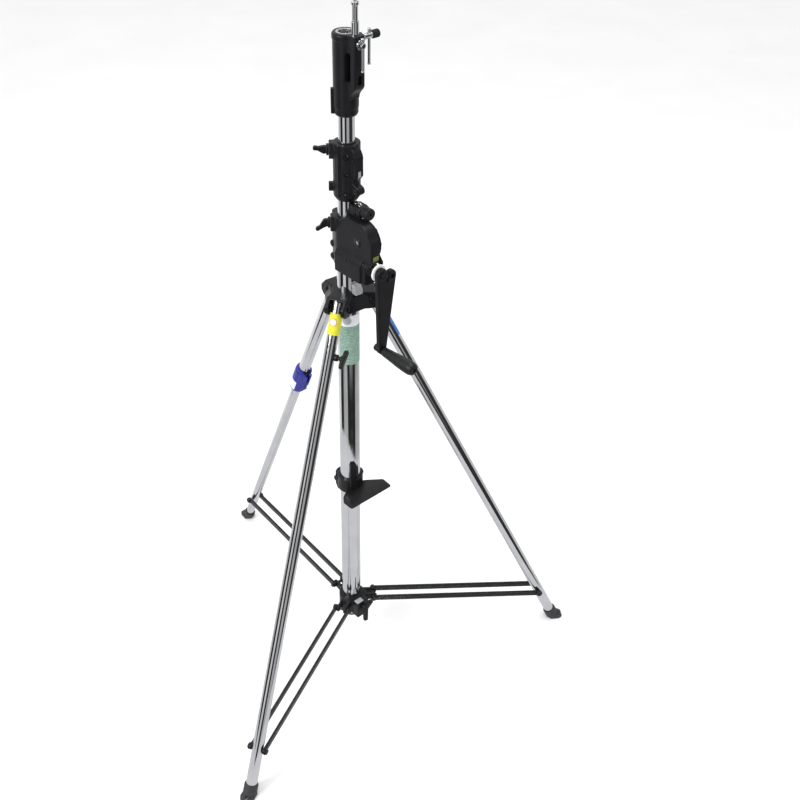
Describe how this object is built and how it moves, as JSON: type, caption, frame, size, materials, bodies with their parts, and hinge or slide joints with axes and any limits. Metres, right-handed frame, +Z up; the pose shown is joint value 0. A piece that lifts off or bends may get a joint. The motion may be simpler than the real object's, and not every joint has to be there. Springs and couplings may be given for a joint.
{
  "type": "crank lighting stand",
  "caption": "Floor-standing tripod stand with a hand-cranked worm winch that raises two telescopic risers and a lamp head with socket and spigot.",
  "frame": {"origin": "on the floor, at the middle of the ground the feet take up; the column axis stands 147.3 mm to -X of it", "axes": "+Z up along the column; +X from the column towards leg B; the crank shaft points 54 degrees clockwise from +X seen from above"},
  "size_m": [0.9254, 1.0686, 1.767],
  "materials": {
    "chrome": "bright chrome plate",
    "cast_black": "satin black paint on castings",
    "black_plastic": "matt black moulded plastic",
    "blue_plastic": "semi-gloss blue moulded plastic",
    "white_plastic": "white plastic",
    "painted_steel": "black painted steel",
    "bare_steel": "plain machined steel",
    "bronze": "machined bronze"
  },
  "bodies": {
    "column": {"column_tube": "chrome", "column_end_cap": "black_plastic", "leg_casting": "cast_black", "leg_pin_a": "bare_steel", "leg_pin_b": "bare_steel", "leg_pin_c": "bare_steel", "carry_bracket": "painted_steel", "bracket_bolt": "bare_steel", "gearbox_body": "cast_black", "gearbox_cover": "cast_black", "gearbox_bush": "black_plastic", "bearing_cap": "cast_black", "cable_anchor_block": "cast_black", "cable_tension_barrel": "black_plastic", "cable_thimble": "chrome"},
    "drum": {"worm_wheel": "bronze", "cable_drum": "bare_steel", "drum_shaft": "bare_steel"},
    "crank": {"worm_shaft": "bare_steel", "crank_washer": "white_plastic", "crank_arm": "cast_black", "crank_screw": "bare_steel", "crank_pin": "bare_steel"},
    "grip": {"crank_grip": "black_plastic"},
    "gear_lever": {"gearbox_lever": "cast_black"},
    "riser_1": {"riser_1_tube": "chrome", "riser_1_bush": "black_plastic", "clamp_1_body": "cast_black", "clamp_1_bush": "black_plastic", "clamp_1_pulley_pin": "bare_steel"},
    "pulley": {"clamp_1_pulley": "black_plastic"},
    "clamp_lever": {"clamp_1_lever": "cast_black"},
    "riser_2": {"riser_2_tube": "chrome", "riser_2_bush": "black_plastic", "head_casting": "cast_black", "socket_sleeve": "bare_steel"},
    "spigot_body": {"spigot": "chrome"},
    "spigot_clamp": {"spigot_screw": "chrome"},
    "spigot_bar": {"spigot_screw_bar": "chrome"},
    "socket_clamp": {"socket_screw": "chrome"},
    "socket_bar": {"socket_screw_bar": "chrome"},
    "leg_a": {"leg_tube_a": "chrome", "foot_a": "black_plastic"},
    "leg_a_knob": {"leg_knob": "black_plastic"},
    "leg_b": {"leg_tube_b": "chrome", "foot_b": "black_plastic"},
    "leg_c": {"leg_c_upper": "chrome", "levelling_collar": "blue_plastic"},
    "leg_c_extension": {"leg_c_lower": "chrome", "foot_c": "black_plastic"},
    "leg_c_lever": {"levelling_lever": "blue_plastic"},
    "hub": {"hub_collar": "cast_black"},
    "hub_lock": {"hub_knob": "black_plastic"},
    "struts_a": {"strut_a_left": "painted_steel", "strut_a_right": "painted_steel"},
    "struts_b": {"strut_b_left": "painted_steel", "strut_b_right": "painted_steel"},
    "struts_c": {"strut_c_left": "painted_steel", "strut_c_right": "painted_steel"}
  },
  "joints": [
    {"name": "riser_1_lift", "type": "slide", "parent": "column", "child": "riser_1", "axis": [0, 0, 1], "range_m": [0, 0.98]},
    {"name": "riser_2_lift", "type": "slide", "parent": "riser_1", "child": "riser_2", "axis": [0, 0, 1], "range_m": [0, 0.982]},
    {"name": "crank_turn", "type": "hinge", "parent": "column", "child": "crank", "pos_m": [-0.16106, -0.00999, 1.228], "axis": [0.5878, -0.809, 0], "range_deg": [0, 32106]},
    {"name": "drum_turn", "type": "hinge", "parent": "column", "child": "drum", "pos_m": [-0.10851, -0.05339, 1.281], "axis": [0.809, 0.5878, 0], "range_deg": [0, 2679]},
    {"name": "pulley_turn", "type": "hinge", "parent": "riser_1", "child": "pulley", "pos_m": [-0.12896, -0.02524, 1.447], "axis": [0.809, 0.5878, 0], "range_deg": [0, 6770]},
    {"name": "grip_spin", "type": "hinge", "parent": "crank", "child": "grip", "pos_m": [-0.15863, -0.00823, 1.035], "axis": [0.5878, -0.809, 0], "continuous": true},
    {"name": "gearbox_lever_turn", "type": "hinge", "parent": "column", "child": "gear_lever", "pos_m": [-0.18451, 0.0026, 1.294], "axis": [-0.9976, 0.0698, 0], "range_deg": [-100, 100]},
    {"name": "clamp_lever_turn", "type": "hinge", "parent": "riser_1", "child": "clamp_lever", "pos_m": [-0.18451, 0.0026, 1.461], "axis": [-0.9976, 0.0698, 0], "range_deg": [-100, 100]},
    {"name": "spigot_lift", "type": "slide", "parent": "riser_2", "child": "spigot_body", "axis": [0, 0, 1], "range_m": [0, 0.1]},
    {"name": "spigot_screw_turn", "type": "hinge", "parent": "riser_2", "child": "spigot_clamp", "pos_m": [-0.11792, -0.04045, 1.688], "axis": [0.5878, -0.809, 0], "continuous": true},
    {"name": "spigot_bar_slide", "type": "slide", "parent": "spigot_clamp", "child": "spigot_bar", "axis": [0, 0, 1], "range_m": [0, 0.035]},
    {"name": "socket_screw_turn", "type": "hinge", "parent": "riser_2", "child": "socket_clamp", "pos_m": [-0.1109, 0.02645, 1.683], "axis": [0.809, 0.5878, 0], "continuous": true},
    {"name": "socket_bar_slide", "type": "slide", "parent": "socket_clamp", "child": "socket_bar", "axis": [0, 0, 1], "range_m": [0, 0.035]},
    {"name": "hub_slide", "type": "slide", "parent": "column", "child": "hub", "axis": [0, 0, 1], "range_m": [0, 0.3298]},
    {"name": "leg_a_fold", "type": "hinge", "parent": "column", "child": "leg_a", "pos_m": [-0.1733, -0.04503, 1.11047], "axis": [0.866, -0.5, 0], "range_deg": [0, 20.7]},
    {"name": "leg_b_fold", "type": "hinge", "parent": "column", "child": "leg_b", "pos_m": [-0.0953, 0, 1.11047], "axis": [0, 1, 0], "range_deg": [0, 20.7]},
    {"name": "leg_c_fold", "type": "hinge", "parent": "column", "child": "leg_c", "pos_m": [-0.1733, 0.04503, 1.11047], "axis": [-0.866, -0.5, 0], "range_deg": [0, 20.7]},
    {"name": "struts_a_fold", "type": "hinge", "parent": "hub", "child": "struts_a", "pos_m": [-0.1773, -0.05196, 0.143], "axis": [0.866, -0.5, 0], "range_deg": [0, 75.77]},
    {"name": "struts_b_fold", "type": "hinge", "parent": "hub", "child": "struts_b", "pos_m": [-0.0873, 0, 0.143], "axis": [0, 1, 0], "range_deg": [0, 75.77]},
    {"name": "struts_c_fold", "type": "hinge", "parent": "hub", "child": "struts_c", "pos_m": [-0.1773, 0.05196, 0.143], "axis": [-0.866, -0.5, 0], "range_deg": [0, 75.77]},
    {"name": "leg_c_extend", "type": "slide", "parent": "leg_c", "child": "leg_c_extension", "axis": [-0.2164, 0.3747, -0.9015], "range_m": [0, 0.2]},
    {"name": "levelling_lever_turn", "type": "hinge", "parent": "leg_c", "child": "leg_c_lever", "pos_m": [-0.24603, 0.171, 0.75426], "axis": [-0.866, -0.5, 0], "range_deg": [0, 60]},
    {"name": "leg_knob_turn", "type": "hinge", "parent": "leg_a", "child": "leg_a_knob", "pos_m": [-0.18551, -0.09478, 1.008], "axis": [0.866, -0.5, 0], "continuous": true},
    {"name": "hub_knob_turn", "type": "hinge", "parent": "hub", "child": "hub_lock", "pos_m": [-0.11774, -0.04069, 0.136], "axis": [0.5878, -0.809, 0], "continuous": true}
  ],
  "couplings": [
    {"joint": "riser_2_lift", "follows": "riser_1_lift", "ratio": 1},
    {"joint": "crank_turn", "follows": "riser_1_lift", "rad_per_m": 571.43},
    {"joint": "drum_turn", "follows": "riser_1_lift", "rad_per_m": 47.619},
    {"joint": "pulley_turn", "follows": "riser_1_lift", "rad_per_m": 120.48},
    {"joint": "leg_a_fold", "follows": "hub_slide", "rad_per_m": 1.0902},
    {"joint": "struts_a_fold", "follows": "hub_slide", "rad_per_m": 4.0046},
    {"joint": "leg_b_fold", "follows": "hub_slide", "rad_per_m": 1.0902},
    {"joint": "struts_b_fold", "follows": "hub_slide", "rad_per_m": 4.0046},
    {"joint": "leg_c_fold", "follows": "hub_slide", "rad_per_m": 1.0902},
    {"joint": "struts_c_fold", "follows": "hub_slide", "rad_per_m": 4.0046}
  ]
}
